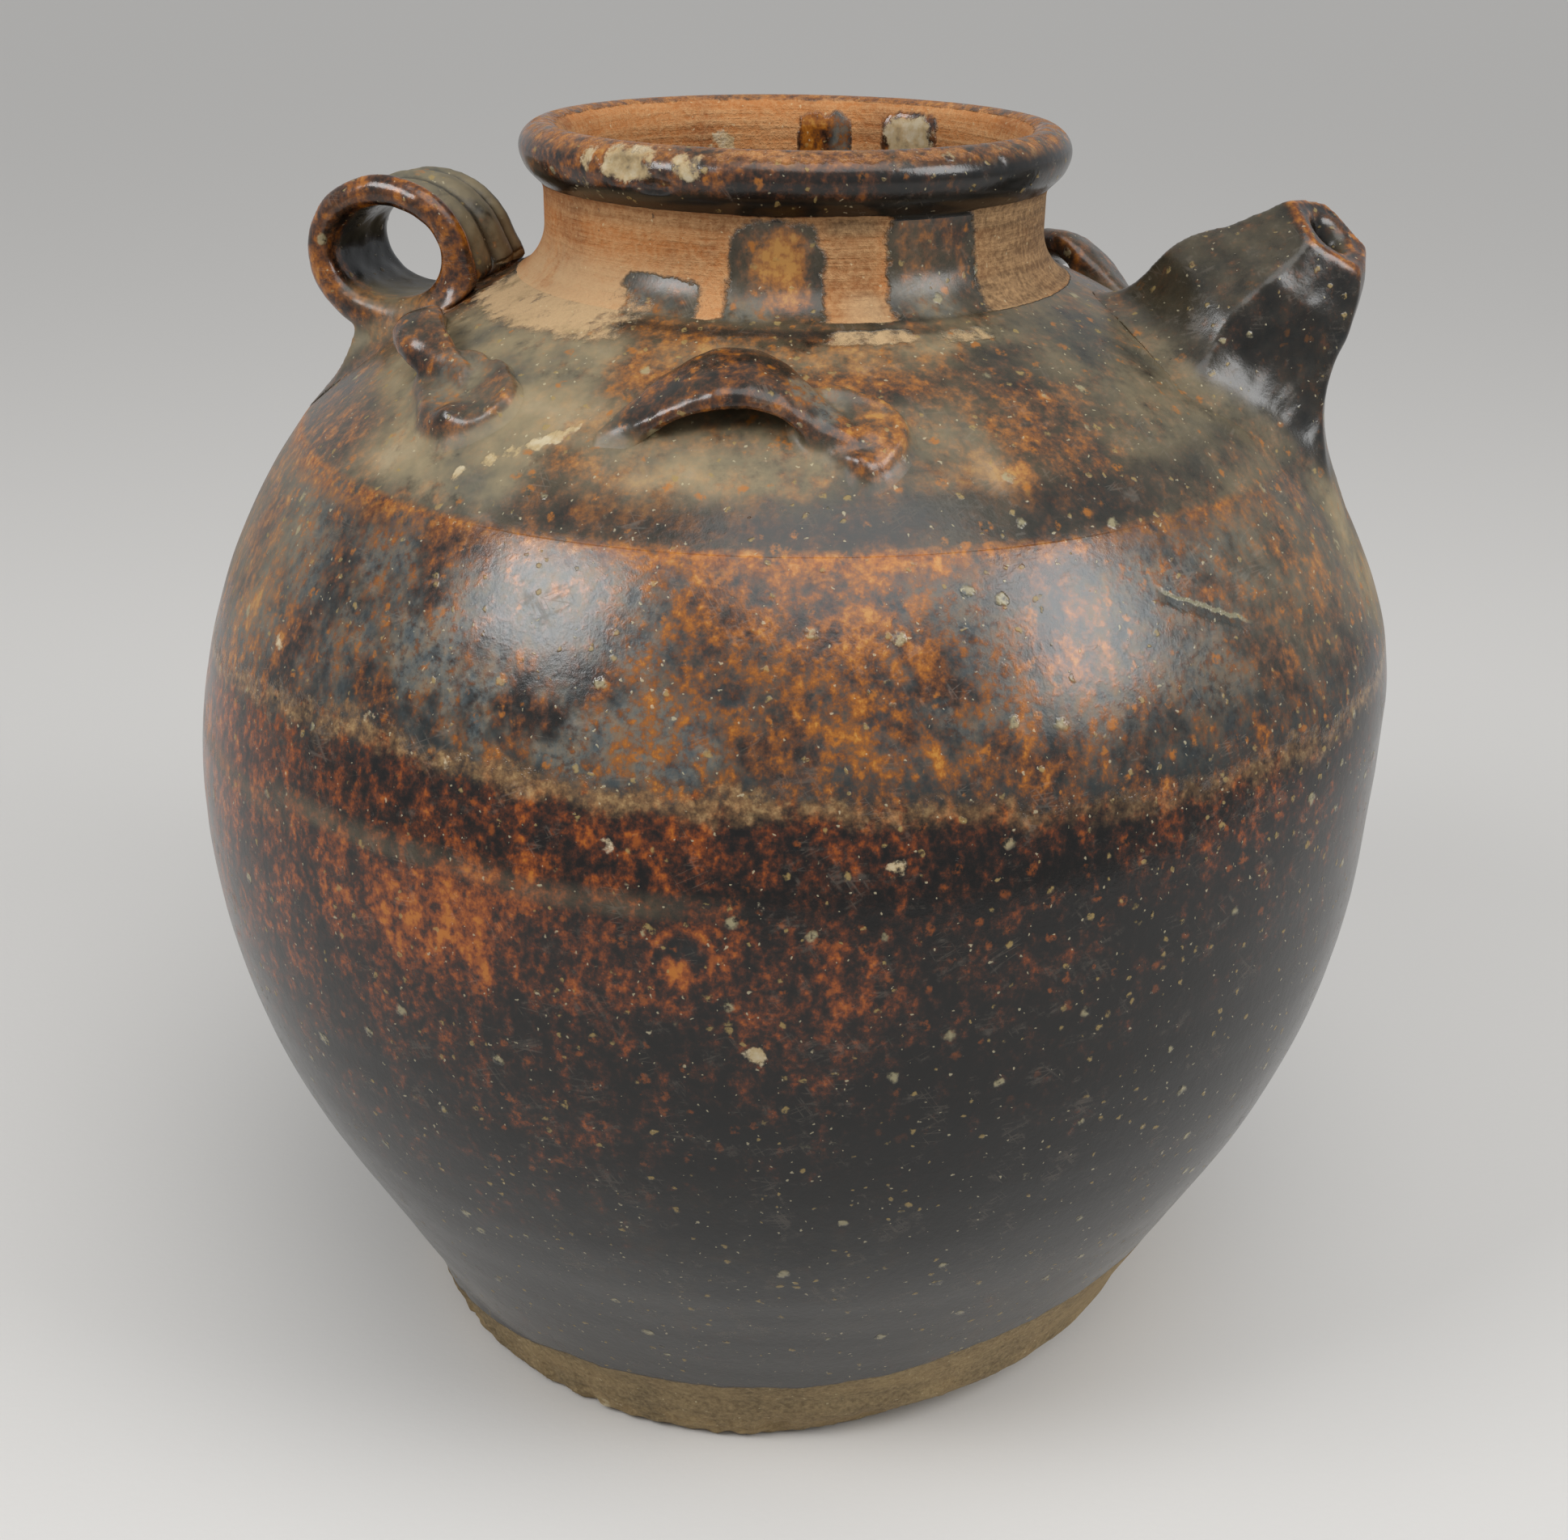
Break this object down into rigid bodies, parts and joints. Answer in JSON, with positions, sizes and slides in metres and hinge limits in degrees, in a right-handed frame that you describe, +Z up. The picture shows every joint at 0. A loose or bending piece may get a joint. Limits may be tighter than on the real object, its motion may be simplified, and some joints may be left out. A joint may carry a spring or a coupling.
{
  "type": "stoneware pouring jar",
  "caption": "Round-bellied brown-glazed stoneware jar with a ridged shoulder, short neck, rolled rim, stubby faceted pouring spout, ribbed ring handle and strap lugs.",
  "frame": {"origin": "middle of the foot's underside, on the surface that the jar stands on", "axes": "+Z up along the jar's throwing axis; -Y towards the front as pictured; +X to the right, the side of the spout"},
  "size_m": [0.175, 0.175, 0.18],
  "materials": {
    "iron_glaze": "glossy",
    "bare_stoneware": "matte"
  },
  "bodies": {
    "root": {"foot": "bare_stoneware", "lower_bowl": "iron_glaze", "upper_bowl": "iron_glaze", "shoulder": "iron_glaze", "neck": "bare_stoneware", "rim": "iron_glaze", "spout": "iron_glaze", "handle": "iron_glaze", "lug_front_right": "iron_glaze", "lug_front_left": "iron_glaze", "lug_back_right": "iron_glaze", "lug_back_left": "iron_glaze"}
  },
  "joints": []
}
